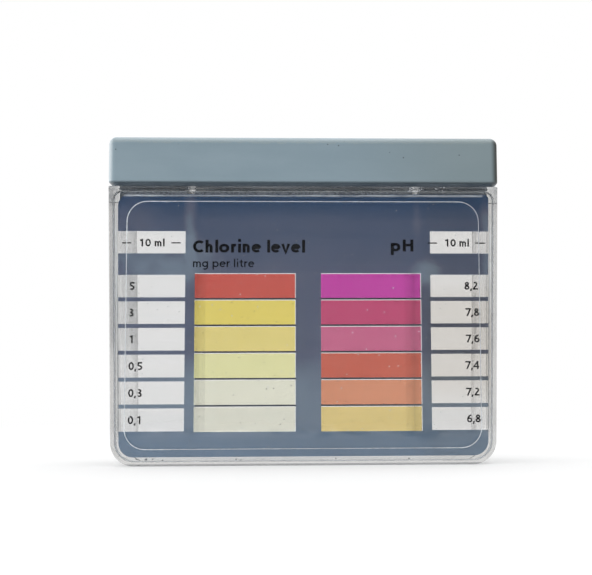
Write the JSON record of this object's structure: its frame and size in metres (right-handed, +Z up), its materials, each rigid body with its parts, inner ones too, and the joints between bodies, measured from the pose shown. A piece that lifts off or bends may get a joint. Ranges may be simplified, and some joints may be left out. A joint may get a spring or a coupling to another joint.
{
  "type": "water test kit",
  "caption": "Clear three-chamber visual comparator for pool water, with printed colour standards behind a front cover and a sealed lift-off lid.",
  "frame": {"origin": "on the table, under the middle of the box", "axes": "+X across the front to the viewer's right, -Y out of the printed front, +Z up through the lid"},
  "size_m": [0.0778, 0.023, 0.0653],
  "materials": {
    "clear_plastic": "clear, polished, lightly scuffed",
    "clear_film": "clear film",
    "mask_print": "printed ink, slightly see-through",
    "standard_red": "translucent print",
    "standard_yellow": "translucent print",
    "standard_pale_yellow": "translucent print",
    "standard_straw": "translucent print",
    "standard_cream": "translucent print",
    "standard_ivory": "translucent print",
    "standard_magenta": "translucent print",
    "standard_crimson": "translucent print",
    "standard_pink": "translucent print",
    "standard_vermilion": "translucent print",
    "standard_orange": "translucent print",
    "standard_gold": "translucent print",
    "lid_plastic": "satin, fine moulded grain",
    "seal_rubber": "soft, matt"
  },
  "bodies": {
    "tester": {"cell_body": "clear_plastic", "front_cover": "clear_plastic", "carrier_film": "clear_film", "mask_film": "mask_print", "chlorine_5": "standard_red", "chlorine_3": "standard_yellow", "chlorine_1": "standard_pale_yellow", "chlorine_0_5": "standard_straw", "chlorine_0_3": "standard_cream", "chlorine_0_1": "standard_ivory", "ph_8_2": "standard_magenta", "ph_7_8": "standard_crimson", "ph_7_6": "standard_pink", "ph_7_4": "standard_vermilion", "ph_7_2": "standard_orange", "ph_6_8": "standard_gold"},
    "lid": {"lid_cap": "lid_plastic", "lid_seal": "seal_rubber"}
  },
  "joints": [
    {"name": "lid_lift", "type": "slide", "parent": "tester", "child": "lid", "axis": [0, 0, 1], "range_m": [0, 0.03]}
  ]
}
